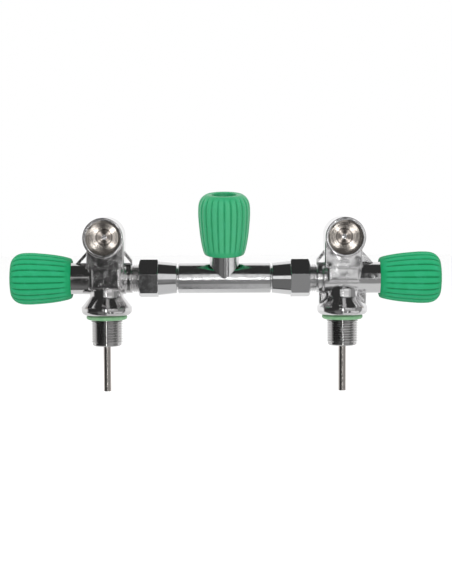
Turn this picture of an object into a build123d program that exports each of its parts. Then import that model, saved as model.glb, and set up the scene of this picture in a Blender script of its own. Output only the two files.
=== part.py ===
from build123d import *
from math import cos, radians, sin
import os

# Scuba isolation manifold: two cylinder valves joined by a crossbar with an isolation valve.
# Millimetres. The origin is the centre of the left neck's sealing face, +X runs along the
# crossbar to the right valve, the outlets face -Y and +Z is up.

os.makedirs("parts", exist_ok=True)

# Layout
neck_spacing = 186.0  # between the axes of the two cylinder necks
bar_height = 28.8  # crossbar axis above the sealing faces of the necks
isolator_lean = 8.0  # degrees that the isolator leans towards the outlets

# Distance from each stem's root to the inner end of its handwheel
left_reach = 27.0
right_reach = 28.9
isolator_reach = 18.9

# Neck of each valve body: M25x2 thread, flange and cone
neck_radius = 12.5
neck_pitch = 2.0
neck_length = 24.3
neck_relief = 3.8  # undercut inside the O-ring, between flange and thread
neck_relief_radius = 12.2
neck_tip = 1.6  # plain length below the last thread
neck_bore = 2.5
flange_radius = 19.85
flange_thickness = 6.8
flange_rounding = 3.7
flange_bevel = 0.5
waist_radius = 13.2
waist_height = 14.4  # above the sealing face
waist_blend = 3.0
neck_oring_section = 3.53

# Dip tube
tube_radius = 3.0
tube_bore = 2.0
tube_engaged = 12.0
tube_reach = 36.4  # below the end of the neck thread

# Barrel, stub and coupling thread (M22x1.5) of the valve body
barrel_radius = 12.2
barrel_overlap = 6.0  # length of barrel inside the handwheel
stub_radius = 11.45
stub_step = 15.5  # neck axis to the step from barrel to stub
stub_end = 20.5  # neck axis to the shoulder behind the coupling thread
coupling_radius = 11.0
coupling_pitch = 1.5
coupling_end = 38.0
socket_radius = 7.5
socket_end = 22.5
core_drop = 5.3  # the round core ends this far below the crossbar axis, inside the barrel
core_rounding = 4.0

# Outlet: M26x2 socket in a boss on a post
outlet_height = 33.4  # outlet axis above the crossbar axis
outlet_face = 36.0  # neck axis to the outlet's face
outlet_radius = 15.6
outlet_rim = 5.5  # length of the wider rim at the face
outlet_rim_rounding = 0.9
outlet_neck = 14.7  # radius of the boss behind the rim
outlet_back = 12.0
back_rounding = 4.0
outlet_thread_radius = 13.0
outlet_pitch = 2.0
outlet_depth = 15.0
outlet_lead = 1.3  # plain entry before the first thread
outlet_entry_chamfer = 0.6
outlet_undercut = 1.7  # plain length behind the last thread
seat_recess_radius = 6.5
seat_recess_depth = 1.2
dimple_radius = 3.5
post_front = 13.7
post_bottom = 8.7  # lower edge of the post above the crossbar axis
post_rounding = 1.2
panel_width = 23.5
panel_height = 6.6
panel_lift = 0.4
pad_width = 26.0
pad_front = 12.9  # neck axis to the flat pad on the front of the barrel
left_pad_drop = 8.2  # lower edge of the pad below the crossbar axis
right_pad_drop = 3.0
pad_rounding = 2.5
gas_bore = 2.0  # radius of the way into the outlet's floor
riser_bore = 1.5  # radius of the ways that rise from a stem's chamber

# Gussets between post, barrel and flange
gusset_thickness = 7.0
gusset_top = 22.0  # where the sloping edge meets the post, above the crossbar axis
outboard_foot = 23.6  # where it meets the barrel, from the neck axis
inboard_foot = 14.7  # height of the sloping edge at the stub's shoulder
gusset_rim = 2.3
gusset_pocket = 2.0  # depth of the pocket in each face, where the gusset is not open
lower_gusset_reach = 18.6
lower_gusset_thickness = 8.0
lower_gusset_bevel = 1.2

# Crossbar and isolator branch
bar_radius = 11.75
bar_half_length = 36.3
bar_chamfer = 0.6
branch_radius = 11.6
spigot_neck = 9.2
spigot_collar = 42.0  # neck axis to the inner end of the spigot's neck
spigot_end = 24.0  # neck axis to the tip of the spigot
spigot_seals = (28.0, 33.0)  # neck axis to each O-ring
spigot_section = 1.78
feed_bore = 1.9  # gas way along the crossbar

# Coupling nut
nut_start = 25.9  # neck axis to the hexagon's end
nut_hex_length = 15.0
nut_end = 55.6
nut_across_flats = 27.0
nut_turn = 15.0  # degrees from the front up to the nearest corner
nut_outer_chamfer = 1.2
nut_inner_chamfer = 0.6
nut_cone_start = 13.35
nut_cone_end = 11.7
nut_rounding = 0.5
nut_shoulder = 45.3  # neck axis to the face that pulls on the retaining ring
ring_width = 1.7
ring_radius = 10.5
ring_groove = 7.9
ring_gap = 3.0

# Valve stem, measured along the stem from the inner end of the handwheel
seat_depth = 14.9  # in to the crown that the seat closes on
passage = 2.0  # radius of the way through the crown
crown_radius = 4.4
crown_height = 1.0
chamber_radius = 7.5
bonnet_radius = 9.0  # M18
bonnet_engaged = 7.8
bonnet_across_flats = 21.0
bonnet_head = 6.0
bonnet_seal_section = 1.2
spindle_radius = 4.25
spindle_end = 12.5  # where the round shaft becomes square
collar_radius = 6.9
collar_width = 2.0
washer_thickness = 0.8
tang_width = 3.0
tang_length = 4.9
tang_span = 8.0
spindle_seals = (0.6, 5.1)
spindle_section = 1.56
square_side = 6.0
stud_radius = 2.5
stud_end = 43.0
stud_chamfer = 0.5
carrier_length = 7.0
carrier_slot_depth = 4.9
insert_radius = 5.0
insert_thickness = 1.8
insert_proud = 0.6

# Handwheel: rubber grip moulded over a rigid hub
grip_length = 47.8
rib_count = 24
rib_groove_width = 1.3
rib_groove_depth = 1.1
rib_outer_margin = 3.6
rib_inner_margin = 3.6
hollow_radius = 13.3
hollow_depth = 14.0
end_recess_radius = 9.5
hub_across_flats = 23.0
hub_length = 24.0
square_hole_length = 12.0
spring_pocket_radius = 6.6
spring_radius = 5.2
spring_wire = 1.0
spring_turns = 4
wheel_nut_across_flats = 8.0
wheel_nut_height = 3.8
wheel_nut_flange = 6.2
wheel_nut_flange_thickness = 1.2

# Outline of the grip: distance from its outer end, and radius
grip_outline = [(0.0, 14.8), (3.2, 18.9), (6.3, 19.9), (9.5, 20.3)]
grip_outline += [(18.0, 20.3), (31.5, 19.1), (38.0, 18.0), (44.2, 16.7)]
grip_inner_radius = 14.6
left_rib_turn = 8.7  # degrees from the front to a groove
right_rib_turn = -4.2
isolator_rib_turn = 0.5

# Clearances
thread_clearance = 0.05
slide_clearance = 0.08
seal_clearance = 0.02
fit_clearance = 0.1
bore_clearance = 0.3
groove_clearance = 0.5

# Thread form as fractions of the pitch: ISO basic profile, drawn as rings
thread_depth = 0.5413
crest_flat = 0.125
root_flat = 0.25

front = (0, -1, 0)
right_x = neck_spacing
isolator_x = neck_spacing / 2
feed_offset = (crown_radius + chamber_radius) / 2
lean = radians(isolator_lean)


def finish(piece, name):
    piece.part.label = name
    export_step(piece.part, f"parts/{name}.step")
    print(f"{name}: {len(piece.part.solids())} solids, {piece.part.volume:.0f} mm3")


def stem_plane(root, direction, facing):
    """Its x axis runs out along the stem, and its z axis faces the front."""
    return Plane(origin=root, x_dir=direction, z_dir=facing)


left_stem = stem_plane((0, 0, bar_height), (-1, 0, 0), front)
right_stem = stem_plane((right_x, 0, bar_height), (1, 0, 0), front)
leaning_up = (0, -sin(lean), cos(lean))
isolator_stem = stem_plane((isolator_x, 0, bar_height), leaning_up, (0, -cos(lean), -sin(lean)))


def along(stem):
    return Axis(stem.origin, stem.x_dir)


def across(stem, distance):
    """Plane square to a stem at a distance from its root, its x axis to the front."""
    return Plane(origin=stem.origin + stem.x_dir * distance, x_dir=stem.z_dir, z_dir=stem.x_dir)


def front_plane(x, z, y=0):
    """Plane that faces the outlets: x to the right, y up."""
    return Plane(origin=(x, y, z), x_dir=(1, 0, 0), z_dir=front)


def ridges(start, end, crest, pitch, sense):
    """Outline of ring-shaped thread ridges: sense is 1 for a shaft and -1 for a hole."""
    root = crest - sense * thread_depth * pitch
    flank = (1 - crest_flat - root_flat) / 2
    step = pitch if end > start else -pitch
    turns = int(abs(end - start) / pitch)
    outline = []
    for turn in range(turns):
        foot = start + turn * step
        outline.append((foot, root))
        outline.append((foot + root_flat * step, root))
        outline.append((foot + (root_flat + flank) * step, crest))
        outline.append((foot + (root_flat + flank + crest_flat) * step, crest))
    outline.append((start + turns * step, root))
    return outline


def outline_on(plane, points):
    with BuildSketch(plane) as sketch:
        with BuildLine():
            Polyline(*points, close=True)
        make_face()
    return sketch.sketch


def swapped(points):
    return [(radius, position) for position, radius in points]


def seal_rings(name, stem, positions, centre, section):
    """One or more O-rings around a stem."""
    with BuildPart() as rings:
        for position in positions:
            with BuildSketch(stem):
                with Locations((position, centre)):
                    Circle(section / 2)
            revolve(axis=along(stem))
    finish(rings, name)


# Valve bodies


def outlet_cutter(x):
    """What is machined out of an outlet boss, turned about the outlet's axis."""
    outlet = Plane(origin=(x, 0, bar_height + outlet_height), x_dir=front, z_dir=(1, 0, 0))
    floor = outlet_face - outlet_depth
    minor = outlet_thread_radius - thread_depth * outlet_pitch
    threads = ridges(floor + outlet_undercut, outlet_face - outlet_lead, minor, outlet_pitch, -1)
    entry = outlet_face - outlet_entry_chamfer
    points = [(-gas_bore, 0), (-gas_bore, gas_bore), (floor - seat_recess_depth, gas_bore)]
    points += [(floor - seat_recess_depth, seat_recess_radius), (floor, seat_recess_radius)]
    points += [(floor, outlet_thread_radius), (floor + outlet_undercut, outlet_thread_radius)]
    points += threads[1:-1] + [(outlet_face - outlet_lead, outlet_thread_radius)]
    points += [(entry, outlet_thread_radius), (outlet_face, outlet_thread_radius + outlet_entry_chamfer)]
    points += [(outlet_face, 0)]
    with BuildPart() as cutter:
        add(outline_on(outlet, points))
        revolve(axis=along(outlet))
    return cutter.part


def stem_cutter(stem, reach, inlet):
    """Inlet, crown, chamber and bonnet bore of a stem, turned about its axis."""
    crown = reach - seat_depth
    trench = crown - crown_height
    barrel_end = reach + barrel_overlap
    bonnet_start = barrel_end - bonnet_engaged
    points = inlet + [(crown, passage), (crown, crown_radius), (trench, crown_radius)]
    points += [(trench, chamber_radius)]
    points += [(bonnet_start, chamber_radius), (bonnet_start, bonnet_radius)]
    points += [(barrel_end, bonnet_radius), (barrel_end, 0)]
    with BuildPart() as cutter:
        add(outline_on(stem, points))
        revolve(axis=along(stem))
    return cutter.part


def outlet_post(x):
    """Post from the barrel up to the outlet boss, with a wider rim at the boss's face."""
    centre = front_plane(x, bar_height)
    with BuildPart() as post:
        with BuildSketch(centre.offset(-outlet_back)):
            with Locations((0, outlet_height)):
                Circle(outlet_neck)
            with Locations((0, (outlet_height + post_bottom) / 2)):
                Rectangle(2 * outlet_neck, outlet_height - post_bottom)
        extrude(amount=outlet_back + post_front)
        fillet(post.faces().sort_by(Axis.Y)[-1].edges(), back_rounding)
        corners = post.edges().filter_by(Axis.Z).group_by(Axis.Y)[0]
        fillet(corners, post_rounding)
        with BuildSketch(centre):
            with Locations((0, outlet_height)):
                Circle(outlet_neck)
        extrude(amount=outlet_face - outlet_rim)
        with BuildSketch(centre.offset(outlet_face - outlet_rim)):
            with Locations((0, outlet_height)):
                Circle(outlet_radius)
        extrude(amount=outlet_rim)
        fillet(post.faces().sort_by(Axis.Y)[0].edges(), outlet_rim_rounding)
    return post.part


def gusset(x, direction, foot, foot_height, depth):
    """Plate beside the post, hollowed to a depth in each face; direction is its X sign."""
    slope = (gusset_top - foot_height) / (foot - outlet_neck)
    inner = outlet_neck / 2
    sunk = barrel_radius - gusset_thickness / 2
    corners = [(inner, sunk), (inner, gusset_top + slope * (outlet_neck - inner))]
    corners += [(foot, foot_height), (foot, sunk)]
    pocket_top = gusset_top - gusset_rim * (1 + slope**2) ** 0.5
    pocket_floor = barrel_radius + fit_clearance
    pocket_reach = outlet_neck + (pocket_top - pocket_floor) / slope
    pocket = [(outlet_neck, pocket_floor), (outlet_neck, pocket_top), (pocket_reach, pocket_floor)]
    with BuildPart() as plate:
        with BuildSketch(front_plane(x, bar_height, gusset_thickness / 2)):
            with BuildLine():
                Polyline(*[(direction * px, py) for px, py in corners], close=True)
            make_face()
        extrude(amount=gusset_thickness)
        for y in (gusset_thickness / 2, depth - gusset_thickness / 2):
            with BuildSketch(front_plane(x, bar_height, y)):
                with BuildLine():
                    Polyline(*[(direction * px, py) for px, py in pocket], close=True)
                make_face()
            extrude(amount=depth, mode=Mode.SUBTRACT)
    return plate.part


def lower_gussets(x):
    """Plates between the barrel and the flange, on both sides of the cone."""
    with BuildPart() as plates:
        with BuildSketch(front_plane(x, 0)):
            with Locations((0, (flange_thickness + bar_height) / 2 - flange_bevel)):
                Rectangle(2 * lower_gusset_reach, bar_height - flange_thickness)
        extrude(amount=lower_gusset_thickness / 2, both=True)
        chamfer(plates.edges().filter_by(Axis.Z), lower_gusset_bevel)
    return plates.part


def pad(x, drop):
    """Flat pad on the front of the barrel, under the post."""
    with BuildPart() as block:
        with BuildSketch(front_plane(x, bar_height)):
            with Locations((0, (post_bottom + panel_lift - drop) / 2)):
                Rectangle(pad_width, post_bottom + panel_lift + drop)
        extrude(amount=pad_front)
        face = block.faces().sort_by(Axis.Y)[0]
        fillet(face.edges().sort_by(Axis.Z)[:-1], pad_rounding)
    return block.part


def valve_body(name, x, stem, out, reach, has_panel, has_lower_gussets):
    """out is the X direction from the neck to the handwheel."""
    centre = front_plane(x, bar_height)
    neck = front_plane(x, 0)
    barrel_end = reach + barrel_overlap
    coupling_root = coupling_radius - thread_depth * coupling_pitch
    neck_root = neck_radius - thread_depth * neck_pitch
    core_top = bar_height - core_drop
    outboard_depth = gusset_thickness if has_panel else gusset_pocket

    with BuildPart() as body:
        # Neck thread, flange, cone and core, turned about the neck's axis
        threads = swapped(ridges(-neck_relief, neck_tip - neck_length, neck_radius, neck_pitch, 1))
        with BuildSketch(neck):
            with BuildLine():
                Polyline(
                    (flange_radius, flange_rounding),
                    (flange_radius, flange_thickness - flange_bevel),
                    (flange_radius - flange_bevel, flange_thickness),
                    (waist_radius, waist_height),
                    (waist_radius, core_top),
                    (0, core_top),
                    (0, -neck_length),
                    (neck_root - neck_tip / 2, -neck_length),
                    (neck_root, neck_tip / 2 - neck_length),
                    *reversed(threads),
                    (neck_relief_radius, -neck_relief),
                    (neck_relief_radius, 0),
                    (flange_radius - flange_rounding, 0),
                )
                RadiusArc(
                    (flange_radius - flange_rounding, 0),
                    (flange_radius, flange_rounding),
                    -flange_rounding,
                )
            make_face()
        revolve(axis=Axis(neck.origin, (0, 0, 1)))
        waist = body.edges().filter_by(GeomType.CIRCLE).filter_by_position(
            Axis.Z, waist_height - fit_clearance, waist_height + fit_clearance
        )
        fillet(waist, waist_blend)
        fillet(body.faces().sort_by(Axis.Z)[-1].edges(), core_rounding)

        # Barrel, stub and coupling thread, turned about the crossbar's axis
        barrel = [(-coupling_end, 0)]
        barrel += ridges(-coupling_end, -stub_end, coupling_radius, coupling_pitch, 1)
        barrel += [(-stub_end, coupling_root), (-stub_end, stub_radius), (-stub_step, stub_radius)]
        barrel += [(-stub_step, barrel_radius), (barrel_end, barrel_radius), (barrel_end, 0)]
        add(outline_on(stem, barrel))
        revolve(axis=along(stem))

        add(outlet_post(x))
        add(gusset(x, out, outboard_foot, barrel_radius, outboard_depth))
        add(gusset(x, -out, stub_end, inboard_foot, gusset_thickness))
        if has_lower_gussets:
            add(lower_gussets(x))
        add(pad(x, left_pad_drop if has_panel else right_pad_drop))
        if has_panel:
            with BuildSketch(centre.offset(post_front - panel_lift)):
                with Locations((0, post_bottom + panel_height / 2 + panel_lift)):
                    RectangleRounded(panel_width, panel_height, panel_lift)
            extrude(amount=2 * panel_lift)

        # Gas ways: neck bore, crossbar socket, stem chamber, riser and outlet
        with BuildSketch(Plane(origin=(x, 0, -neck_length))):
            Circle(neck_bore)
        extrude(amount=bar_height + neck_length, mode=Mode.SUBTRACT)
        with BuildSketch(Plane(origin=(x, 0, -neck_length))):
            Circle(tube_radius + seal_clearance)
        extrude(amount=tube_engaged, mode=Mode.SUBTRACT)
        inlet = [(-coupling_end, 0), (-coupling_end, socket_radius)]
        inlet += [(-socket_end, socket_radius), (-socket_end, passage)]
        add(stem_cutter(stem, reach, inlet), mode=Mode.SUBTRACT)
        crown = reach - seat_depth
        riser_foot = Vector(x + out * crown, 0, bar_height + chamber_radius - riser_bore)
        riser_top = Vector(x, 0, bar_height + outlet_height)
        with BuildSketch(Plane(origin=riser_foot, z_dir=riser_top - riser_foot)):
            Circle(riser_bore)
        extrude(amount=(riser_top - riser_foot).length, mode=Mode.SUBTRACT)
        add(outlet_cutter(x), mode=Mode.SUBTRACT)
        with Locations((x, outlet_back + dimple_radius / 2, bar_height + outlet_height)):
            Sphere(dimple_radius, mode=Mode.SUBTRACT)
    finish(body, name)


def neck_oring(name, x):
    axis = stem_plane((x, 0, 0), (0, 0, -1), front)
    middle = neck_oring_section / 2 + seal_clearance
    seal_rings(name, axis, [middle], neck_radius + middle, neck_oring_section)


def dip_tube(name, x):
    top = tube_engaged - neck_length
    with BuildPart() as tube:
        with BuildSketch(Plane(origin=(x, 0, -neck_length - tube_reach))):
            Circle(tube_radius)
            Circle(tube_bore, mode=Mode.SUBTRACT)
        extrude(amount=top + neck_length + tube_reach)
    finish(tube, name)


# Crossbar and its couplings


def bar_plane(x, direction):
    """Its x axis runs inwards from a neck along the crossbar."""
    return stem_plane((x, 0, bar_height), (direction, 0, 0), front)


def crossbar(name):
    half = bar_half_length
    tip = isolator_x - spigot_end
    collar = isolator_x - spigot_collar
    nose = socket_radius - slide_clearance
    groove_root = socket_radius - spigot_section - 2 * seal_clearance
    groove_half = spigot_section / 2 + seal_clearance + groove_clearance / 2
    ring_start = isolator_x - nut_shoulder
    ring_end = ring_start + ring_width
    outline = [(half - bar_chamfer, bar_radius), (half, bar_radius - bar_chamfer)]
    outline += [(half, spigot_neck), (ring_start - seal_clearance, spigot_neck)]
    outline += [(ring_start - seal_clearance, ring_groove), (ring_end + seal_clearance, ring_groove)]
    outline += [(ring_end + seal_clearance, spigot_neck), (collar, spigot_neck), (collar, nose)]
    for seal in sorted(spigot_seals, reverse=True):
        place = isolator_x - seal
        outline += [(place - groove_half, nose), (place - groove_half, groove_root)]
        outline += [(place + groove_half, groove_root), (place + groove_half, nose)]
    outline += [(tip - bar_chamfer, nose), (tip, nose - bar_chamfer), (tip, 0)]
    mirrored = [(-position, radius) for position, radius in reversed(outline)]
    branch_end = isolator_reach + barrel_overlap
    crown = isolator_reach - seat_depth

    with BuildPart() as bar:
        add(outline_on(front_plane(isolator_x, bar_height), mirrored + outline))
        revolve(axis=Axis((isolator_x, 0, bar_height), (1, 0, 0)))
        with BuildSketch(isolator_stem):
            with Locations((branch_end / 2, branch_radius / 2)):
                Rectangle(branch_end, branch_radius)
        revolve(axis=along(isolator_stem))
        inlet = [(0, 0), (0, passage)]
        add(stem_cutter(isolator_stem, isolator_reach, inlet), mode=Mode.SUBTRACT)
        # The right way ends under the crown, the left way rises into the chamber beside it
        for direction, end in ((1, 0), (-1, feed_offset)):
            with BuildSketch(across(bar_plane(isolator_x, direction), end)):
                Circle(feed_bore)
            extrude(amount=tip - end, mode=Mode.SUBTRACT)
        riser = Plane(origin=(isolator_x - feed_offset, 0, bar_height), z_dir=isolator_stem.x_dir)
        with BuildSketch(riser):
            Circle(riser_bore)
        extrude(amount=crown, mode=Mode.SUBTRACT)
    finish(bar, name)


def coupling_nut(name, x, direction):
    """direction is the X sign from the neck to the crossbar."""
    axis = bar_plane(x, direction)
    corner = nut_across_flats / 3**0.5
    hex_end = nut_start + nut_hex_length
    slope = 3**0.5
    limits = [(nut_start, 0), (nut_start, corner - nut_outer_chamfer * slope)]
    limits += [(nut_start + nut_outer_chamfer, corner)]
    limits += [(hex_end - nut_inner_chamfer, corner), (hex_end, corner - nut_inner_chamfer * slope)]
    limits += [(hex_end, 0)]
    cone = [(hex_end, spigot_neck), (hex_end, nut_cone_start), (nut_end, nut_cone_end)]
    cone += [(nut_end, spigot_neck)]
    bore = [(nut_start, 0), (nut_start, coupling_radius + bar_chamfer)]
    bore += [(nut_start + bar_chamfer, coupling_radius + thread_clearance)]
    bore += [(nut_shoulder, coupling_radius + thread_clearance)]
    bore += [(nut_shoulder, spigot_neck + bore_clearance), (nut_end, spigot_neck + bore_clearance)]
    bore += [(nut_end, 0)]
    with BuildPart() as nut:
        with BuildSketch(across(axis, nut_start)):
            RegularPolygon(corner, 6, rotation=direction * -nut_turn)
        extrude(amount=nut_hex_length)
        add(outline_on(axis, limits))
        revolve(axis=along(axis), mode=Mode.INTERSECT)
        add(outline_on(axis, cone))
        revolve(axis=along(axis))
        end_face = nut.faces().sort_by(Axis.X)[-1 if direction > 0 else 0]
        fillet(end_face.outer_wire().edges(), nut_rounding)
        add(outline_on(axis, bore))
        revolve(axis=along(axis), mode=Mode.SUBTRACT)
    finish(nut, name)


def retaining_ring(name, x, direction):
    """Split ring in the spigot's groove."""
    axis = bar_plane(x, direction)
    with BuildPart() as ring:
        with BuildSketch(across(axis, nut_shoulder - ring_width)):
            Circle(ring_radius)
            Circle(ring_groove + seal_clearance, mode=Mode.SUBTRACT)
            with Locations((-ring_radius, 0)):
                Rectangle(2 * (ring_radius - ring_groove) + ring_gap, ring_gap, mode=Mode.SUBTRACT)
        extrude(amount=ring_width)
    finish(ring, name)


def spigot_orings(name, x, direction):
    centre = socket_radius - seal_clearance - spigot_section / 2
    seal_rings(name, bar_plane(x, direction), spigot_seals, centre, spigot_section)


# Valve stems


def bonnet(name, stem, reach):
    """Gland nut that holds the spindle in the body."""
    head_start = reach + barrel_overlap
    start = head_start - bonnet_engaged
    head_end = head_start + bonnet_head
    corner = bonnet_across_flats / 3**0.5
    seal = head_start - bonnet_seal_section
    seal_half = bonnet_seal_section / 2 + 2 * seal_clearance
    shank = bonnet_radius - thread_clearance
    seal_root = bonnet_radius - bonnet_seal_section - 2 * seal_clearance
    limits = [(start, 0), (start, shank - bar_chamfer), (start + bar_chamfer, shank)]
    limits += [(seal - seal_half, shank), (seal - seal_half, seal_root)]
    limits += [(seal + seal_half, seal_root), (seal + seal_half, shank), (head_start, shank)]
    limits += [(head_start, corner), (head_end - bar_chamfer, corner)]
    limits += [(head_end, corner - bar_chamfer * 3**0.5), (head_end, 0)]
    with BuildPart() as gland:
        with BuildSketch(across(stem, start)):
            Circle(corner)
        extrude(amount=head_end - start)
        with BuildSketch(across(stem, head_start)):
            Circle(2 * corner)
            RegularPolygon(corner, 6, mode=Mode.SUBTRACT)
        extrude(amount=bonnet_head, mode=Mode.SUBTRACT)
        add(outline_on(stem, limits))
        revolve(axis=along(stem), mode=Mode.INTERSECT)
        with BuildSketch(across(stem, start)):
            Circle(spindle_radius + slide_clearance)
        extrude(amount=head_end - start, mode=Mode.SUBTRACT)
    finish(gland, name)


def bonnet_oring(name, stem, reach):
    place = reach + barrel_overlap - bonnet_seal_section
    centre = bonnet_radius - seal_clearance - bonnet_seal_section / 2
    seal_rings(name, stem, [place], centre, bonnet_seal_section)


def washer_face(reach):
    """Inner face of the bonnet, which the thrust washer bears on."""
    return reach + barrel_overlap - bonnet_engaged


def thrust_washer(name, stem, reach):
    with BuildPart() as washer:
        with BuildSketch(across(stem, washer_face(reach) - washer_thickness + seal_clearance)):
            Circle(collar_radius)
            Circle(spindle_radius + fit_clearance, mode=Mode.SUBTRACT)
        extrude(amount=washer_thickness - seal_clearance)
    finish(washer, name)


def spindle(name, stem, reach):
    """Tang, collar, sealed shaft, square and stud, in one piece."""
    collar_end = washer_face(reach) - washer_thickness
    collar_start = collar_end - collar_width
    groove_root = spindle_radius + slide_clearance - spindle_section - 2 * seal_clearance
    groove_half = spindle_section / 2 + seal_clearance + groove_clearance / 2
    shaft_end = reach + spindle_end
    square_end = reach + hollow_depth + square_hole_length
    outline = [(collar_start, 0), (collar_start, collar_radius), (collar_end, collar_radius)]
    outline += [(collar_end, spindle_radius)]
    for seal in spindle_seals:
        place = reach + seal
        outline += [(place - groove_half, spindle_radius), (place - groove_half, groove_root)]
        outline += [(place + groove_half, groove_root), (place + groove_half, spindle_radius)]
    outline += [(shaft_end, spindle_radius), (shaft_end, 0)]
    with BuildPart() as shaft:
        add(outline_on(stem, outline))
        revolve(axis=along(stem))
        with BuildSketch(across(stem, collar_start - tang_length)):
            Rectangle(tang_span, tang_width)
        extrude(amount=tang_length)
        with BuildSketch(across(stem, shaft_end)):
            Rectangle(square_side, square_side)
        extrude(amount=square_end - shaft_end)
        with BuildSketch(across(stem, square_end)):
            Circle(stud_radius)
        extrude(amount=reach + stud_end - square_end)
        chamfer(shaft.edges().filter_by(GeomType.CIRCLE).sort_by(along(stem))[-1], stud_chamfer)
    finish(shaft, name)


def spindle_orings(name, stem, reach):
    centre = spindle_radius + slide_clearance - seal_clearance - spindle_section / 2
    seal_rings(name, stem, [reach + seal for seal in spindle_seals], centre, spindle_section)


def seat_carrier(name, stem, reach):
    """Disc that the spindle's tang screws in and out of the chamber."""
    start = reach - seat_depth + insert_proud
    pocket = insert_thickness - insert_proud
    with BuildPart() as carrier:
        with BuildSketch(across(stem, start)):
            Circle(chamber_radius - slide_clearance)
        extrude(amount=carrier_length)
        with BuildSketch(across(stem, start)):
            Circle(insert_radius)
        extrude(amount=pocket, mode=Mode.SUBTRACT)
        with BuildSketch(across(stem, start + carrier_length - carrier_slot_depth)):
            Rectangle(tang_span + 2 * fit_clearance, tang_width + 2 * fit_clearance)
        extrude(amount=carrier_slot_depth, mode=Mode.SUBTRACT)
    finish(carrier, name)


def seat_insert(name, stem, reach):
    with BuildPart() as insert:
        with BuildSketch(across(stem, reach - seat_depth + seal_clearance)):
            Circle(insert_radius - seal_clearance)
        extrude(amount=insert_thickness - seal_clearance)
    finish(insert, name)


def grip_shape(stem, reach, depth):
    """Turned body of the grip, with its ribbed surface drawn in by a depth."""
    end = reach + grip_length
    outer = [(end - position, radius - depth) for position, radius in grip_outline]
    with BuildPart() as shape:
        with BuildSketch(stem):
            with BuildLine():
                Spline(*outer)
                Polyline(
                    outer[-1],
                    (reach, grip_inner_radius - depth),
                    (reach, 0),
                    (end, 0),
                    outer[0],
                )
            make_face()
        revolve(axis=along(stem))
    return shape.part


def handwheel_grip(name, stem, reach, rib_turn):
    """Rubber grip with ribs between narrow grooves, hollow at both ends."""
    ribbed_length = grip_length - rib_outer_margin - rib_inner_margin
    groove_reach = max(radius for position, radius in grip_outline)
    with BuildPart() as grooves:
        with BuildSketch(across(stem, reach + rib_inner_margin)):
            with PolarLocations(groove_reach, rib_count, start_angle=rib_turn):
                Rectangle(groove_reach / 2, rib_groove_width)
        extrude(amount=ribbed_length)
        add(grip_shape(stem, reach, rib_groove_depth), mode=Mode.SUBTRACT)
    with BuildPart() as grip:
        add(grip_shape(stem, reach, 0))
        add(grooves.part, mode=Mode.SUBTRACT)
        with BuildSketch(across(stem, reach)):
            Circle(hollow_radius)
        extrude(amount=hollow_depth, mode=Mode.SUBTRACT)
        with BuildSketch(across(stem, reach + hollow_depth)):
            RegularPolygon(hub_across_flats / 2, 6, major_radius=False)
        extrude(amount=hub_length, mode=Mode.SUBTRACT)
        with BuildSketch(across(stem, reach + hollow_depth + hub_length)):
            Circle(end_recess_radius)
        extrude(amount=grip_length - hollow_depth - hub_length, mode=Mode.SUBTRACT)
    finish(grip, name)


def handwheel_hub(name, stem, reach):
    """Rigid core with the square hole and the spring's pocket."""
    start = reach + hollow_depth
    with BuildPart() as hub:
        with BuildSketch(across(stem, start)):
            RegularPolygon(hub_across_flats / 2 - seal_clearance, 6, major_radius=False)
            Rectangle(square_side + fit_clearance, square_side + fit_clearance, mode=Mode.SUBTRACT)
        extrude(amount=square_hole_length)
        with BuildSketch(across(stem, start + square_hole_length)):
            RegularPolygon(hub_across_flats / 2 - seal_clearance, 6, major_radius=False)
            Circle(spring_pocket_radius, mode=Mode.SUBTRACT)
        extrude(amount=hub_length - square_hole_length)
    finish(hub, name)


def handwheel_spring(name, stem, reach):
    """Coil spring that the nut presses on."""
    start = reach + hollow_depth + square_hole_length + spring_wire / 2 + seal_clearance
    end = reach + hollow_depth + hub_length - spring_wire / 2
    with BuildPart() as spring:
        with BuildLine() as coil:
            foot = stem.origin + stem.x_dir * start
            Helix((end - start) / spring_turns, end - start, spring_radius, foot, stem.x_dir)
        with BuildSketch(Plane(origin=coil.line @ 0, z_dir=coil.line % 0)):
            Circle(spring_wire / 2)
        sweep(path=coil.line, is_frenet=True)
    finish(spring, name)


def handwheel_nut(name, stem, reach):
    """Flanged nut on the spindle's stud."""
    start = reach + hollow_depth + hub_length + seal_clearance
    corner = wheel_nut_across_flats / 3**0.5
    with BuildPart() as nut:
        with BuildSketch(across(stem, start)):
            Circle(wheel_nut_flange)
        extrude(amount=wheel_nut_flange_thickness)
        with BuildSketch(across(stem, start + wheel_nut_flange_thickness)):
            RegularPolygon(corner, 6)
        extrude(amount=wheel_nut_height)
        with BuildSketch(across(stem, start)):
            Circle(stud_radius + thread_clearance)
        extrude(amount=wheel_nut_flange_thickness + wheel_nut_height, mode=Mode.SUBTRACT)
    finish(nut, name)


def stem_pieces(prefix, stem, reach, rib_turn):
    bonnet(f"{prefix}_bonnet", stem, reach)
    bonnet_oring(f"{prefix}_bonnet_oring", stem, reach)
    thrust_washer(f"{prefix}_thrust_washer", stem, reach)
    spindle(f"{prefix}_spindle", stem, reach)
    spindle_orings(f"{prefix}_spindle_orings", stem, reach)
    seat_carrier(f"{prefix}_seat_carrier", stem, reach)
    seat_insert(f"{prefix}_seat_insert", stem, reach)
    handwheel_grip(f"{prefix}_handwheel_grip", stem, reach, rib_turn)
    handwheel_hub(f"{prefix}_handwheel_hub", stem, reach)
    handwheel_spring(f"{prefix}_handwheel_spring", stem, reach)
    handwheel_nut(f"{prefix}_handwheel_nut", stem, reach)


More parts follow.
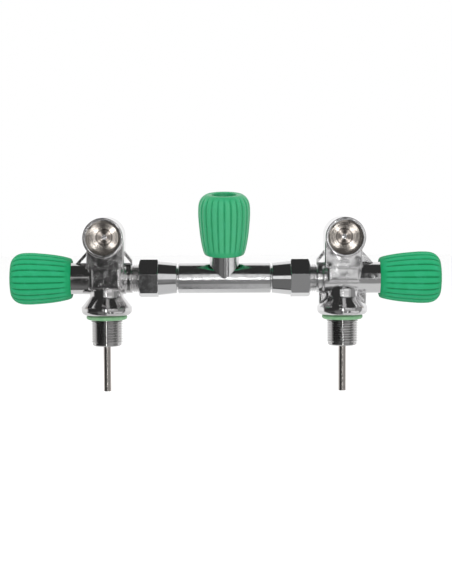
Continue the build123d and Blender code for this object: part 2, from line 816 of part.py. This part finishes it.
valve_body("left_valve_body", 0, left_stem, -1, left_reach, True, False)
valve_body("right_valve_body", right_x, right_stem, 1, right_reach, False, True)
for side, x, inwards in (("left", 0, 1), ("right", right_x, -1)):
    neck_oring(f"{side}_neck_oring", x)
    dip_tube(f"{side}_dip_tube", x)
    coupling_nut(f"{side}_coupling_nut", x, inwards)
    retaining_ring(f"{side}_retaining_ring", x, inwards)
    spigot_orings(f"{side}_spigot_orings", x, inwards)
crossbar("crossbar")
stem_pieces("left", left_stem, left_reach, left_rib_turn)
stem_pieces("right", right_stem, right_reach, right_rib_turn)
stem_pieces("isolator", isolator_stem, isolator_reach, isolator_rib_turn)
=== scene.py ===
from math import cos, pi, radians, sin

import bmesh
import bpy
from mathutils import Matrix, Vector


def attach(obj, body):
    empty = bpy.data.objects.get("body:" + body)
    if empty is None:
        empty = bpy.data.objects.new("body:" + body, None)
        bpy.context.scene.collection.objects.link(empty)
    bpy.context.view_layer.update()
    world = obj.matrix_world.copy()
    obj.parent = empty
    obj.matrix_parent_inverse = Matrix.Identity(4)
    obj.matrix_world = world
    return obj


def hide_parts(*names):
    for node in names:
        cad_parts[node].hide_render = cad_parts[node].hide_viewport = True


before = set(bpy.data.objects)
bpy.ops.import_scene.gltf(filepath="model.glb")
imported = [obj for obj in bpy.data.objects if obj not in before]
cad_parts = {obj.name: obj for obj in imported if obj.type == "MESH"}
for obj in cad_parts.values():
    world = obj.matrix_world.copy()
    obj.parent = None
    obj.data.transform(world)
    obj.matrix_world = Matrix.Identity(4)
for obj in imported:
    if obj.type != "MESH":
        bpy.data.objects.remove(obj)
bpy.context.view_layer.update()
print("frame loaded:", len(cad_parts), "nodes")

mm = 0.001  # sizes below are in millimetres, as on a drawing

# Where the three handwheels stand: root of the stem, direction out, direction to the front, how far
# out the grip begins, and where its first groove lies in degrees
lean = radians(8)
stems = {
    "left": {"root": (0, 0, 28.8), "out": (-1, 0, 0),
             "front": (0, -1, 0), "reach": 27.0, "ribTurn": 8.7},
    "right": {"root": (186, 0, 28.8), "out": (1, 0, 0),
              "front": (0, -1, 0), "reach": 28.9, "ribTurn": -4.2},
    "isolator": {"root": (93, 0, 28.8), "out": (0, -sin(lean), cos(lean)),
                 "front": (0, -cos(lean), -sin(lean)), "reach": 18.9, "ribTurn": 0.5},
}


# Small helpers for material nodes

# Puts a number, a colour or another node's socket into a socket
def wire(tree, value, socket):
    if isinstance(value, bpy.types.NodeSocket):
        tree.links.new(value, socket)
    else:
        socket.default_value = value


def calc(tree, operation, *values):
    node = tree.nodes.new("ShaderNodeMath")
    node.operation = operation
    for index, value in enumerate(values):
        wire(tree, value, node.inputs[index])
    return node.outputs[0]


def vectorCalc(tree, operation, *values):
    node = tree.nodes.new("ShaderNodeVectorMath")
    node.operation = operation
    for index, value in enumerate(values):
        isScale = operation == "SCALE" and index == 1
        wire(tree, value, node.inputs["Scale" if isScale else index])
    return node.outputs[1 if operation == "LENGTH" else 0]  # a length is a number, the rest are vectors


def ramp(tree, value, low, high, toLow=0.0, toHigh=1.0):
    node = tree.nodes.new("ShaderNodeMapRange")
    node.interpolation_type = "SMOOTHSTEP"
    wire(tree, value, node.inputs["Value"])
    for name, number in (("From Min", low), ("From Max", high), ("To Min", toLow), ("To Max", toHigh)):
        node.inputs[name].default_value = number
    return node.outputs[0]


def mixColour(tree, factor, first, second):
    node = tree.nodes.new("ShaderNodeMix")
    node.data_type = "RGBA"
    wire(tree, factor, node.inputs[0])
    wire(tree, first, node.inputs[6])  # inputs 6 and 7 are the node's colours
    wire(tree, second, node.inputs[7])
    return node.outputs[2]


def noise(tree, vector, scale, detail=2.0, roughness=0.5):
    node = tree.nodes.new("ShaderNodeTexNoise")
    wire(tree, vector, node.inputs["Vector"])
    node.inputs["Scale"].default_value = scale
    node.inputs["Detail"].default_value = detail
    node.inputs["Roughness"].default_value = roughness
    return node.outputs[0]


def bump(tree, height, distance, normal=None):
    node = tree.nodes.new("ShaderNodeBump")
    node.inputs["Distance"].default_value = distance
    wire(tree, height, node.inputs["Height"])
    if normal is not None:
        wire(tree, normal, node.inputs["Normal"])
    return node.outputs[0]


def newMaterial(name):
    material = bpy.data.materials.new(name)
    material.use_nodes = True
    tree = material.node_tree
    shader = tree.nodes["Principled BSDF"]
    place = tree.nodes.new("ShaderNodeTexCoord").outputs["Object"]
    return material, tree, shader, place


# Metals

chrome = {
    "colour": (0.74, 0.74, 0.745, 1),
    "roughness": (0.05, 0.11),
    "blotchSize": 260,  # blotches per metre, some duller than others
    "blotchRange": (0.35, 0.7),
    "waveSize": 85,  # waves per metre left by hand polishing
    "waveHeight": 0.05,
    "peelSize": 900,
    "peelHeight": 0.0016,
    "rounding": 0.25,  # how far the light runs round an edge
    "roundingSamples": 6,
}


def chromeMaterial(name, values):
    material, tree, shader, place = newMaterial(name)
    shader.inputs["Metallic"].default_value = 1
    shader.inputs["Base Color"].default_value = values["colour"]
    blotches = noise(tree, place, values["blotchSize"], detail=3)
    roughness = ramp(tree, blotches, *values["blotchRange"], *values["roughness"])
    wire(tree, roughness, shader.inputs["Roughness"])
    rounded = tree.nodes.new("ShaderNodeBevel")
    rounded.name = "rounding"
    rounded.samples = values["roundingSamples"]
    rounded.inputs["Radius"].default_value = values["rounding"] * mm
    waves = noise(tree, place, values["waveSize"], detail=1)
    waved = bump(tree, waves, values["waveHeight"] * mm, normal=rounded.outputs[0])
    peel = noise(tree, place, values["peelSize"])
    wire(tree, bump(tree, peel, values["peelHeight"] * mm, normal=waved), shader.inputs["Normal"])
    return material


# Outlet socket of a valve body: bare turned metal on its floor, with painted shade darkening the recess
# in the middle
turnedFloor = {
    "axisHeight": 62.2,
    "mouth": -35.7,  # Y of the first turned line inside the rim
    "back": -18,
    "rimRadius": 16.9,
    "rimRounding": 0.9,
    "radius": 13.15,
    "recessRadius": 6.6,
    "colour": (0.5, 0.46, 0.42, 1),
    # painted shade: the recess in the middle gets a darker colour
    "recessShade": (0.29, 0.26, 0.235, 1),
    "roughness": 0.09,
    "ridgePitch": 0.11,  # from one turned ridge to the next
    "ridgeTilt": 0.054,  # slope of a ridge's two flanks
    "diffuseShare": 0.12,
    "ringSize": 0.9,  # lighter and darker turned rings
    "ringRange": (0.35, 0.65),
    "ringShade": (0.6, 1.0),
}

# How far the light runs round the edges of a body, from the thread up to the post
forging = {
    "neckTop": -0.5,  # heights where the rounding changes
    "postFoot": 41,
    "threadRounding": 0.03,
    "rounding": 2.2,
    "postRounding": 0.35,
}
# Painted shade for the neck thread: the colour between the root and crest radii is darker
threadGrooveShade = {"root": 11.5, "crest": 12.35, "colour": (0.55, 0.545, 0.54, 1)}  # radii on the neck


# Chrome outside, with painted shade in the thread grooves, and bare turned metal inside the outlet,
# with painted shade in its middle recess
def valveMaterial(name, outletX, values):
    material = chromeMaterial(name, values)
    tree = material.node_tree
    shader = tree.nodes["Principled BSDF"]
    place = tree.nodes["Texture Coordinate"].outputs["Object"]
    polishedNormal = shader.inputs["Normal"].links[0].from_socket
    polishedRoughness = shader.inputs["Roughness"].links[0].from_socket
    centre = (outletX * mm, 0, turnedFloor["axisHeight"] * mm)
    offset = vectorCalc(tree, "SUBTRACT", place, centre)
    flat = vectorCalc(tree, "MULTIPLY", offset, (1, 0, 1))
    distance = vectorCalc(tree, "LENGTH", flat)
    axes = tree.nodes.new("ShaderNodeSeparateXYZ")
    wire(tree, place, axes.inputs[0])
    depth, height = axes.outputs[1], axes.outputs[2]

    # Edges of the forging run into each other softly, but the neck's thread stays crisp
    aboveNeck = calc(tree, "GREATER_THAN", height, forging["neckTop"] * mm)
    onPost = calc(tree, "GREATER_THAN", height, forging["postFoot"] * mm)
    inFront = calc(tree, "LESS_THAN", depth, turnedFloor["back"] * mm)
    nearAxis = calc(tree, "LESS_THAN", distance, turnedFloor["rimRadius"] * mm)
    onRim = calc(tree, "MULTIPLY", nearAxis, inFront)
    radius = forging["threadRounding"] * mm
    changes = ((aboveNeck, forging["rounding"] - forging["threadRounding"]),
               (onPost, forging["postRounding"] - forging["rounding"]),
               (onRim, turnedFloor["rimRounding"] - forging["postRounding"]))
    for where, change in changes:
        radius = calc(tree, "ADD", radius, calc(tree, "MULTIPLY", where, change * mm))
    wire(tree, radius, tree.nodes["rounding"].inputs["Radius"])

    behindMouth = calc(tree, "GREATER_THAN", depth, turnedFloor["mouth"] * mm)
    inSocket = calc(tree, "MULTIPLY", calc(tree, "LESS_THAN", distance, turnedFloor["radius"] * mm),
                    calc(tree, "MULTIPLY", inFront, behindMouth))
    nearWay = calc(tree, "LESS_THAN", distance, turnedFloor["recessRadius"] * mm)
    inShadedRecess = calc(tree, "MULTIPLY", nearWay, inSocket)

    # A lathe leaves rings that spread each reflection out from the centre
    radial = vectorCalc(tree, "NORMALIZE", flat)
    phase = calc(tree, "MULTIPLY", distance, 2 / (turnedFloor["ridgePitch"] * mm))
    flank = calc(tree, "GREATER_THAN", calc(tree, "PINGPONG", phase, 1.0), 0.5)
    wave = calc(tree, "SUBTRACT", calc(tree, "MULTIPLY", flank, 2.0), 1.0)
    tilt = calc(tree, "MULTIPLY", wave, turnedFloor["ridgeTilt"])
    surface = tree.nodes.new("ShaderNodeNewGeometry").outputs["Normal"]
    leaning = vectorCalc(tree, "ADD", surface, vectorCalc(tree, "SCALE", radial, tilt))
    lathe = vectorCalc(tree, "NORMALIZE", leaning)
    normal = tree.nodes.new("ShaderNodeMix")
    normal.data_type = "VECTOR"
    wire(tree, inSocket, normal.inputs[0])
    wire(tree, polishedNormal, normal.inputs[4])  # inputs 4 and 5 are the node's vectors
    wire(tree, lathe, normal.inputs[5])
    wire(tree, normal.outputs[1], shader.inputs["Normal"])

    rings = tree.nodes.new("ShaderNodeTexNoise")
    rings.noise_dimensions = "1D"
    wire(tree, calc(tree, "MULTIPLY", distance, 1 / mm), rings.inputs["W"])
    rings.inputs["Scale"].default_value = turnedFloor["ringSize"]
    ringShade = ramp(tree, rings.outputs[0], *turnedFloor["ringRange"], *turnedFloor["ringShade"])
    # Painted shade: the middle recess is coloured darker than the rest of the turned floor
    bare = mixColour(tree, inShadedRecess, turnedFloor["colour"], turnedFloor["recessShade"])
    shaded = vectorCalc(tree, "SCALE", bare, ringShade)

    # Painted shade: thread grooves are darker than the crests
    fromNeck = vectorCalc(tree, "SUBTRACT", place, (outletX * mm, 0, 0))
    neckRadius = vectorCalc(tree, "LENGTH", vectorCalc(tree, "MULTIPLY", fromNeck, (1, 1, 0)))
    grooveShade = ramp(tree, neckRadius, threadGrooveShade["root"] * mm, threadGrooveShade["crest"] * mm, 1, 0)
    grooveShade = calc(tree, "MULTIPLY", grooveShade, calc(tree, "LESS_THAN", height, 0.0))
    outside = mixColour(tree, grooveShade, values["colour"], threadGrooveShade["colour"])
    wire(tree, mixColour(tree, inSocket, outside, shaded), shader.inputs["Base Color"])
    turnedRoughness = calc(tree, "MULTIPLY", inSocket, turnedFloor["roughness"])
    wire(tree, calc(tree, "MAXIMUM", polishedRoughness, turnedRoughness), shader.inputs["Roughness"])
    dull = calc(tree, "MULTIPLY", inSocket, turnedFloor["diffuseShare"])
    wire(tree, calc(tree, "SUBTRACT", 1.0, dull), shader.inputs["Metallic"])
    return material


leftBody = dict(chrome, colour=(0.7, 0.69, 0.69, 1), waveSize=75, waveHeight=0.08)
rightBody = dict(chrome, colour=(0.8, 0.795, 0.8, 1), waveSize=70, waveHeight=0.5)
barChrome = dict(chrome, roughness=(0.13, 0.22), waveHeight=0.015, peelSize=1400, peelHeight=0.007)
nutChrome = dict(chrome, roughness=(0.06, 0.13), waveHeight=0.008, peelSize=1300, peelHeight=0.0025)
tubeChrome = dict(chrome, colour=(0.63, 0.59, 0.56, 1), roughness=(0.17, 0.21),
                  waveHeight=0.001, peelHeight=0.0002)

# Bright turned metal for the hidden pieces
brass = {"colour": (0.72, 0.52, 0.25, 1), "dark": (0.5, 0.34, 0.15, 1), "roughness": 0.26}
spindleBrass = dict(brass, roughness=0.34)
springSteel = {"colour": (0.6, 0.6, 0.61, 1), "dark": (0.45, 0.45, 0.46, 1), "roughness": 0.24}
turning = {
    "cloudSize": 220,
    "cloudRange": (0.3, 0.7),
    "duller": 0.1,
    "grainSize": 2400,
    "grainHeight": 0.004,
}


def turnedMetal(name, values):
    material, tree, shader, place = newMaterial(name)
    shader.inputs["Metallic"].default_value = 1
    cloud = ramp(tree, noise(tree, place, turning["cloudSize"], detail=4), *turning["cloudRange"])
    wire(tree, mixColour(tree, cloud, values["dark"], values["colour"]), shader.inputs["Base Color"])
    bright = values["roughness"]
    wire(tree, ramp(tree, cloud, 0, 1, bright + turning["duller"], bright), shader.inputs["Roughness"])
    grain = noise(tree, place, turning["grainSize"])
    wire(tree, bump(tree, grain, turning["grainHeight"] * mm), shader.inputs["Normal"])
    return material


# Rubber and plastic

# Rib colours carry painted light and shade: crests are painted lighter on the rib backs, and grooves
# are painted darker as shade. The dust patches are real dust.
gripGreen = {
    "crest": (0.012, 0.27, 0.112, 1),
    "flank": (0.004, 0.225, 0.083, 1),
    "groove": (0.001, 0.12, 0.04, 1),
    "dust": (0.03, 0.32, 0.165, 1),
    "flankRange": (0.0, 0.42),  # heights on a rib, 0 in the groove and 1 on its back
    "crestRange": (0.55, 1.0),
    "dustSize": 130,
    "dustRange": (0.45, 0.75),
    "dustShare": 0.35,
    "roughness": 0.5,
    "duller": 0.14,
    "sheen": 0.16,
    "grainSize": 3200,
    "grainHeight": 0.004,
    "dentSize": 420,
    "dentHeight": 0.06,
}
isolatorGreen = dict(gripGreen, crest=(0.035, 0.3, 0.135, 1), flank=(0.014, 0.25, 0.1, 1),
                     groove=(0.006, 0.19, 0.07, 1), roughness=0.33, sheen=0.4)


def gripMaterial(name, values):
    material, tree, shader, place = newMaterial(name)
    rib = tree.nodes.new("ShaderNodeAttribute")
    rib.attribute_name = "rib"
    height = rib.outputs["Fac"]
    # Painted shade in the grooves and painted light on the rib backs, from the rib attribute
    base = mixColour(tree, ramp(tree, height, *values["flankRange"]), values["groove"], values["flank"])
    base = mixColour(tree, ramp(tree, height, *values["crestRange"]), base, values["crest"])
    clouds = noise(tree, place, values["dustSize"], detail=3, roughness=0.6)
    patches = ramp(tree, clouds, *values["dustRange"])
    base = mixColour(tree, calc(tree, "MULTIPLY", patches, values["dustShare"]), base, values["dust"])
    wire(tree, base, shader.inputs["Base Color"])
    clean = values["roughness"]
    wire(tree, ramp(tree, patches, 0, 1, clean, clean + values["duller"]), shader.inputs["Roughness"])
    grain = bump(tree, noise(tree, place, values["grainSize"], detail=3), values["grainHeight"] * mm)
    dents = noise(tree, place, values["dentSize"])
    wire(tree, bump(tree, dents, values["dentHeight"] * mm, normal=grain), shader.inputs["Normal"])
    shader.inputs["Specular IOR Level"].default_value = values["sheen"]
    return material


sealGreen = {"colour": (0.13, 0.3, 0.15, 1), "worn": (0.2, 0.37, 0.2, 1), "roughness": 0.5}
sealBlack = {"colour": (0.012, 0.012, 0.012, 1), "worn": (0.03, 0.03, 0.03, 1), "roughness": 0.5}
hubPlastic = {"colour": (0.02, 0.02, 0.02, 1), "worn": (0.05, 0.05, 0.05, 1), "roughness": 0.42}
whitePlastic = {"colour": (0.72, 0.7, 0.65, 1), "worn": (0.8, 0.79, 0.75, 1), "roughness": 0.4}
moulding = {
    "wearSize": 300,
    "wearRange": (0.35, 0.75),
    "duller": 0.12,
    "grainSize": 2600,
    "grainHeight": 0.01,
}


def mouldedMaterial(name, values):
    material, tree, shader, place = newMaterial(name)
    wear = ramp(tree, noise(tree, place, moulding["wearSize"], detail=4), *moulding["wearRange"])
    wire(tree, mixColour(tree, wear, values["colour"], values["worn"]), shader.inputs["Base Color"])
    fresh = values["roughness"]
    wire(tree, ramp(tree, wear, 0, 1, fresh, fresh + moulding["duller"]), shader.inputs["Roughness"])
    grain = noise(tree, place, moulding["grainSize"])
    wire(tree, bump(tree, grain, moulding["grainHeight"] * mm), shader.inputs["Normal"])
    return material


# Materials for the carried-over nodes

leftBodyMaterial = valveMaterial("leftBodyChrome", stems["left"]["root"][0], leftBody)
rightBodyMaterial = valveMaterial("rightBodyChrome", stems["right"]["root"][0], rightBody)
barMaterial = chromeMaterial("barChrome", barChrome)
nutMaterial = chromeMaterial("nutChrome", nutChrome)
tubeMaterial = chromeMaterial("tubeChrome", tubeChrome)
bonnetMaterial = turnedMetal("bonnetBrass", brass)
spindleMaterial = turnedMetal("spindleBrass", spindleBrass)
steelMaterial = turnedMetal("springSteel", springSteel)
greenSeal = mouldedMaterial("sealGreen", sealGreen)
blackSeal = mouldedMaterial("sealBlack", sealBlack)
hubMaterial = mouldedMaterial("hubPlastic", hubPlastic)
whiteMaterial = mouldedMaterial("whitePlastic", whitePlastic)
gripRubber = gripMaterial("gripRubber", gripGreen)
isolatorRubber = gripMaterial("isolatorRubber", isolatorGreen)

# By the end of a node's name; the longest ending that fits counts
nodeMaterials = {
    "left_valve_body": leftBodyMaterial,
    "right_valve_body": rightBodyMaterial,
    "crossbar": barMaterial,
    "coupling_nut": nutMaterial,
    "dip_tube": tubeMaterial,
    "neck_oring": greenSeal,
    "retaining_ring": steelMaterial,
    "orings": blackSeal,
    "bonnet_oring": blackSeal,
    "bonnet": bonnetMaterial,
    "thrust_washer": whiteMaterial,
    "seat_insert": whiteMaterial,
    "seat_carrier": spindleMaterial,
    "spindle": spindleMaterial,
    "handwheel_hub": hubMaterial,
    "handwheel_spring": steelMaterial,
    "handwheel_nut": steelMaterial,
    "handwheel_grip": gripRubber,
}
for nodeName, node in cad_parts.items():
    ending = max((tail for tail in nodeMaterials if nodeName.endswith(tail)), key=len)
    node.data.materials.clear()
    node.data.materials.append(nodeMaterials[ending])
print("materials assigned")


# Rubber grips: turned body with rounded ribs that fade out at both ends

grip = {
    "outline": [(0.35, 11.6), (0.0, 13.2), (0.25, 14.4), (1.1, 15.8), (2.3, 17.2), (3.9, 18.5),
                (6.0, 19.5), (9.0, 20.2), (13.5, 20.4), (18.0, 20.3), (24.0, 19.85), (31.0, 19.15),
                (37.0, 18.3), (42.0, 17.3), (45.4, 16.4), (47.0, 15.7), (47.75, 14.8), (47.5, 13.9),
                (46.4, 13.4)],  # depth from the outer end, and radius
    "length": 47.8,
    "stepsPerSpan": 3,  # between two points of the outline
    "ribs": 24,
    "stepsPerRib": 12,
    "grooveDepth": 0.8,
    "grooveWidth": 0.2,  # share of a rib's width
    "crown": 0.9,  # how much a rib falls from its back to the groove, before the groove itself
    "plainHeight": 0.62,  # height in the rib attribute where the ribs have faded out
    "insideHeight": 0.6,
    "fadeOuter": (0.6, 4.2),  # where ribs rise at the outer end, from the outer end
    "fadeInner": (41.5, 45.6),  # where they run out at the inner end
    "hollowRadius": 13.3,
    "hollowDepth": 14.0,
    "hollowMouth": 1.6,
    "wall": 0.2,  # points this close to the hollow count as inside
    "recessRadius": 9.5,
    "recessDepth": 9.8,
    "recessMouth": [(0.9, 0), (0.35, 0.3), (0.1, 0.9)],  # depth, and how much wider it is there
}


def smoothStep(low, high, value):
    share = min(max((value - low) / (high - low), 0), 1)
    return share * share * (3 - 2 * share)


# Catmull-Rom curve through the outline's points
def curveThrough(points, perSpan):
    path = []
    for index in range(len(points) - 1):
        before = Vector(points[max(index - 1, 0)])
        start, end = Vector(points[index]), Vector(points[index + 1])
        after = Vector(points[min(index + 2, len(points) - 1)])
        for step in range(perSpan):
            t = step / perSpan
            square = 2 * before - 5 * start + 4 * end - after
            cube = 3 * start - before - 3 * end + after
            path.append(0.5 * (2 * start + (end - before) * t + square * t**2 + cube * t**3))
    path.append(Vector(points[-1]))
    return path


# 1 on a rib's back and 0 at the bottom of the groove; turn counts ribs from a groove
def ribHeight(turn):
    away = abs(turn - round(turn))  # 0 at the groove, 0.5 on the back
    flank = smoothStep(0, grip["grooveWidth"], away)
    crown = 1 - (0.5 - away) ** 2 * grip["crown"]
    return flank * crown


def buildGrip(name, stem):
    outer = curveThrough(grip["outline"], grip["stepsPerSpan"])
    recess = [(grip["recessDepth"], grip["recessRadius"])]
    recess += [(depth, grip["recessRadius"] + wider) for depth, wider in grip["recessMouth"]]
    hollow = [(grip["length"] - depth, grip["hollowRadius"])
              for depth in (grip["hollowMouth"], grip["hollowDepth"])]
    profile = [Vector(p) for p in recess] + outer + [Vector(p) for p in hollow]
    shape = bmesh.new()
    corners = [shape.verts.new((p.y * mm, 0, -p.x * mm)) for p in profile]
    edges = [shape.edges.new(pair) for pair in zip(corners, corners[1:])]
    bmesh.ops.spin(shape, geom=corners + edges, cent=(0, 0, 0), axis=(0, 0, 1), angle=2 * pi,
                   steps=grip["ribs"] * grip["stepsPerRib"], use_merge=True, use_duplicate=False)
    bmesh.ops.remove_doubles(shape, verts=shape.verts, dist=1e-7)
    ribLayer = shape.verts.layers.float.new("rib")
    for corner in shape.verts:
        depth = -corner.co.z / mm
        radius = corner.co.xy.length / mm
        if radius <= grip["hollowRadius"] + grip["wall"]:
            corner[ribLayer] = grip["insideHeight"]
            continue
        angle = corner.co.xy.angle_signed(Vector((1, 0)))
        turn = (angle - radians(stem["ribTurn"])) / (2 * pi) * grip["ribs"]
        height = ribHeight(turn)
        fade = smoothStep(*grip["fadeOuter"], depth) * (1 - smoothStep(*grip["fadeInner"], depth))
        drop = (1 - height) * fade * grip["grooveDepth"]
        corner.co.xy *= (radius - drop) / radius
        # The rib attribute drives the painted shade in the grooves and the painted light on the rib
        # backs
        corner[ribLayer] = grip["plainHeight"] + (height - grip["plainHeight"]) * fade
    out, front = Vector(stem["out"]), Vector(stem["front"])
    side = out.cross(front)
    tip = Vector(stem["root"]) * mm + out * (stem["reach"] + grip["length"]) * mm
    place = Matrix((front, side, out)).transposed().to_4x4()
    place.translation = tip
    shape.transform(place)
    bmesh.ops.recalc_face_normals(shape, faces=shape.faces)
    for face in shape.faces:
        face.smooth = True
    mesh = bpy.data.meshes.new(name)
    shape.to_mesh(mesh)
    shape.free()
    piece = bpy.data.objects.new(name, mesh)
    bpy.context.scene.collection.objects.link(piece)
    piece.data.materials.append(isolatorRubber if name.startswith("isolator") else gripRubber)
    return piece


for side, stem in stems.items():
    piece = buildGrip(f"{side}RibbedGrip", stem)
    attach(piece, f"{side}_handwheel")
    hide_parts(f"{side}_handwheel_grip")
    piece.visible_glossy = side == "isolator"  # the valves' chrome stays free of green
    print("grip built:", piece.name, len(piece.data.polygons), "faces")


# Studio: pale floor, soft lights that chrome doesn't mirror, and the cards that it does

studio = {
    "floorDrop": -215,
    "floorSize": 9.0,
    "floorColour": (0.97, 0.97, 0.97, 1),
    "floorRoughness": 0.9,
    "middle": 93,  # X of the isolator
    "dark": 0.036,  # what the chrome mirrors between the cards
    "ambient": 1.05,  # even light that reaches rubber and the floor
}

# Cards that the chrome mirrors, later ones over earlier ones: azimuth from the camera (right is plus),
# elevation, brightness and softness of the edges
cards = [
    {"azimuth": (94, 181), "elevation": (-91, 62), "level": 0.95, "soft": 10, "both": True},
    {"azimuth": (94, 181), "elevation": (-91, -12), "level": 0.82, "soft": 10, "both": True},
    {"azimuth": (-100, -40), "elevation": (-26, -10), "level": 0.075, "soft": 8},
    {"azimuth": (9, 58), "elevation": (-9, 35), "level": 0.46, "soft": 7},
    {"azimuth": (7.5, 40), "elevation": (-3, 33), "level": 0.85, "soft": 5},
    {"azimuth": (60, 98), "elevation": (-10, 30), "level": 0.27, "soft": 8},
    {"azimuth": (36, 84), "elevation": (-32, -12), "level": 0.9, "soft": 6},
    {"azimuth": (18.5, 23), "elevation": (-32, -12), "level": 1.6, "soft": 2},
    {"azimuth": (2.4, 180), "elevation": (-91, -40), "level": 0.66, "soft": 7},
    {"azimuth": (-2.6, 3), "elevation": (-80, -43), "level": 0.52, "soft": 4},
    {"azimuth": (-2.6, 12), "elevation": (-43, -8), "level": 0.28, "soft": 3},
    {"azimuth": (-40, -7.5), "elevation": (-80, -8), "level": 0.17, "soft": 5},
    {"azimuth": (-16, -7.5), "elevation": (-5, 18), "level": 1.0, "soft": 4},
    {"azimuth": (-8, -3), "elevation": (7, 15), "level": 0.3, "soft": 4},
    {"azimuth": (-8, -3), "elevation": (10.5, 12.5), "level": 0.8, "soft": 1.5},
    {"azimuth": (3, 9), "elevation": (-5.0, -1.8), "level": 0.8, "soft": 2.5},
    {"azimuth": (-3, 3), "elevation": (-4, 32), "level": 1.1, "soft": 2.6},
    {"azimuth": (-0.5, 1.6), "elevation": (0.5, 2.7), "level": 14, "soft": 0.8},
    {"azimuth": (-0.9, 0.9), "elevation": (-10, -4.5), "level": 9, "soft": 1},
]


def studioWorld():
    world = bpy.data.worlds.new("studio")
    bpy.context.scene.world = world
    world.use_nodes = True
    tree = world.node_tree
    background = tree.nodes["Background"]
    direction = tree.nodes.new("ShaderNodeTexCoord").outputs["Generated"]
    parts = tree.nodes.new("ShaderNodeSeparateXYZ")
    wire(tree, direction, parts.inputs[0])
    towardsCamera = calc(tree, "MULTIPLY", parts.outputs[1], -1.0)
    azimuth = calc(tree, "DEGREES", calc(tree, "ARCTAN2", parts.outputs[0], towardsCamera))
    elevation = calc(tree, "DEGREES", calc(tree, "ARCSINE", parts.outputs[2]))
    spread = calc(tree, "ABSOLUTE", azimuth)
    level = studio["dark"]
    for card in cards:
        turn = spread if card.get("both") else azimuth
        soft = card["soft"] / 2
        mask = None
        for value, (low, high) in ((turn, card["azimuth"]), (elevation, card["elevation"])):
            for edge, rising in ((low, 1), (high, 0)):
                if abs(edge) > (90 if value is elevation else 179):  # past the pole, or right behind
                    continue
                part = ramp(tree, value, edge - soft, edge + soft, 1 - rising, rising)
                mask = part if mask is None else calc(tree, "MULTIPLY", mask, part)
        rise = calc(tree, "MULTIPLY", mask, calc(tree, "SUBTRACT", card["level"], level))
        level = calc(tree, "ADD", level, rise)
    colour = tree.nodes.new("ShaderNodeCombineXYZ")
    for index in range(3):
        wire(tree, level, colour.inputs[index])
    path = tree.nodes.new("ShaderNodeLightPath").outputs
    ambient = (studio["ambient"],) * 3 + (1,)
    shown = mixColour(tree, path["Is Diffuse Ray"], colour.outputs[0], ambient)
    wire(tree, mixColour(tree, path["Is Camera Ray"], shown, (1, 1, 1, 1)), background.inputs["Color"])


studioWorld()

floorMesh = bpy.data.meshes.new("floor")
floorShape = bmesh.new()
bmesh.ops.create_grid(floorShape, x_segments=1, y_segments=1, size=studio["floorSize"] / 2,
                      matrix=Matrix.Translation((studio["middle"] * mm, 0, studio["floorDrop"] * mm)))
floorShape.to_mesh(floorMesh)
floorShape.free()
floor = bpy.data.objects.new("floor", floorMesh)
bpy.context.scene.collection.objects.link(floor)
floorMaterial = newMaterial("paleFloor")[0]
floorShader = floorMaterial.node_tree.nodes["Principled BSDF"]
floorShader.inputs["Base Color"].default_value = studio["floorColour"]
floorShader.inputs["Roughness"].default_value = studio["floorRoughness"]
floorMesh.materials.append(floorMaterial)
floor.visible_glossy = False

# Soft lights for the rubber and the floor: place, aim and size in metres, and power
lights = {
    "keyLight": {"at": (-0.5, -1.5, 1.5), "aim": (0.093, 0, 0.03), "size": 1.3, "power": 14},
    "fillLight": {"at": (1.0, -1.6, 0.7), "aim": (0.093, 0, 0.03), "size": 1.4, "power": 9},
    "topLight": {"at": (0.093, 0.3, 1.7), "aim": (0.093, 0, 0), "size": 1.6, "power": 10},
}
for name, values in lights.items():
    lamp = bpy.data.lights.new(name, "AREA")
    lamp.shape = "SQUARE"
    lamp.size = values["size"]
    lamp.energy = values["power"]
    lampObject = bpy.data.objects.new(name, lamp)
    lampObject.location = values["at"]
    aim = Vector(values["aim"]) - Vector(values["at"])
    lampObject.rotation_euler = aim.to_track_quat("-Z", "Y").to_euler()
    lampObject.visible_glossy = False
    lampObject.visible_camera = False
    bpy.context.scene.collection.objects.link(lampObject)

# Camera as the photograph was taken: almost level, 1.2 m in front of the isolator
view = {
    "target": (94.2, 0, 17.7),
    "distance": 1200,
    "elevation": 4.7,
    "roll": -0.24,
    "focalPixels": 1520,
    "pixels": 584,  # along the picture's longer side
    "sensor": 36,
}
camera = bpy.data.cameras.new("camera")
camera.sensor_width = view["sensor"]
camera.lens = view["focalPixels"] / view["pixels"] * camera.sensor_width
cameraObject = bpy.data.objects.new("camera", camera)
rise = radians(view["elevation"])
target = Vector(view["target"]) * mm
back = Vector((0, -cos(rise), sin(rise)))
cameraObject.location = target + back * view["distance"] * mm
turned = back.to_track_quat("Z", "Y") @ Matrix.Rotation(radians(view["roll"]), 3, "Z").to_quaternion()
cameraObject.rotation_euler = turned.to_euler()
bpy.context.scene.collection.objects.link(cameraObject)
bpy.context.scene.camera = cameraObject
bpy.context.scene.view_settings.view_transform = "Standard"
print("studio ready")
